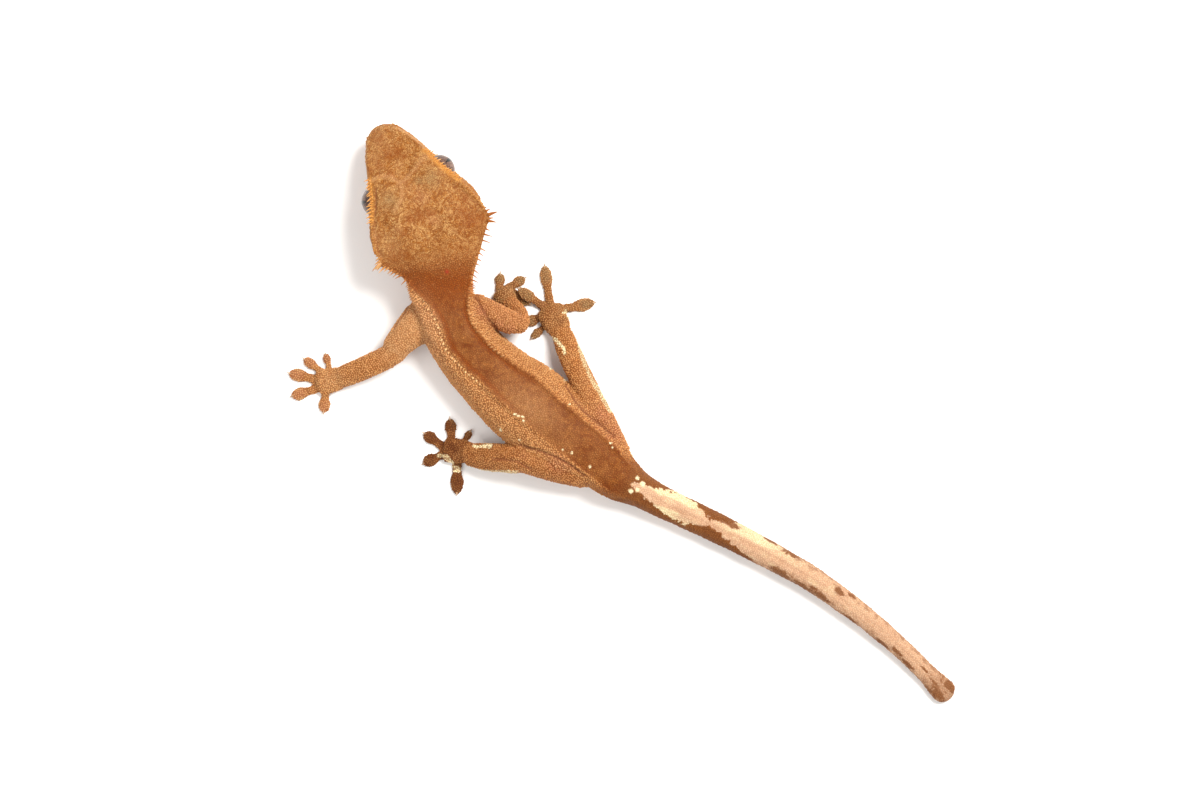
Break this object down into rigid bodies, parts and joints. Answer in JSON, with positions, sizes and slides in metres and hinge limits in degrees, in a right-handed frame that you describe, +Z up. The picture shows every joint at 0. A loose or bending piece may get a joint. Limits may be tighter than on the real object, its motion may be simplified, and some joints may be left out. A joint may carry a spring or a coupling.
{
  "type": "crested gecko",
  "caption": "Life-size still model of a crested gecko lying flat, with a fringed head crest, splayed padded toes and a long tail.",
  "frame": {"origin": "centre of the bottom of the bounding box, on the floor that the belly, feet and tail lie on", "axes": "+Y from the tail's end to the head, along the whole length; +X to the animal's right; +Z up from the floor"},
  "size_m": [0.066, 0.1852, 0.0176],
  "materials": {
    "skin": "orange-tan granular lizard skin",
    "tail_skin": "pale peach granular skin with brown blotches",
    "eye": "glossy, dark brown"
  },
  "bodies": {
    "root": {"head": "skin", "eye_left": "eye", "eye_right": "eye", "neck": "skin", "torso_front": "skin", "torso_rear": "skin", "tail_base": "tail_skin", "tail_middle": "tail_skin", "tail_tip": "tail_skin", "upper_arm_left": "skin", "forearm_left": "skin", "hand_left": "skin", "upper_arm_right": "skin", "forearm_right": "skin", "hand_right": "skin", "thigh_left": "skin", "shank_left": "skin", "foot_left": "skin", "thigh_right": "skin", "shank_right": "skin", "foot_right": "skin"}
  },
  "joints": []
}
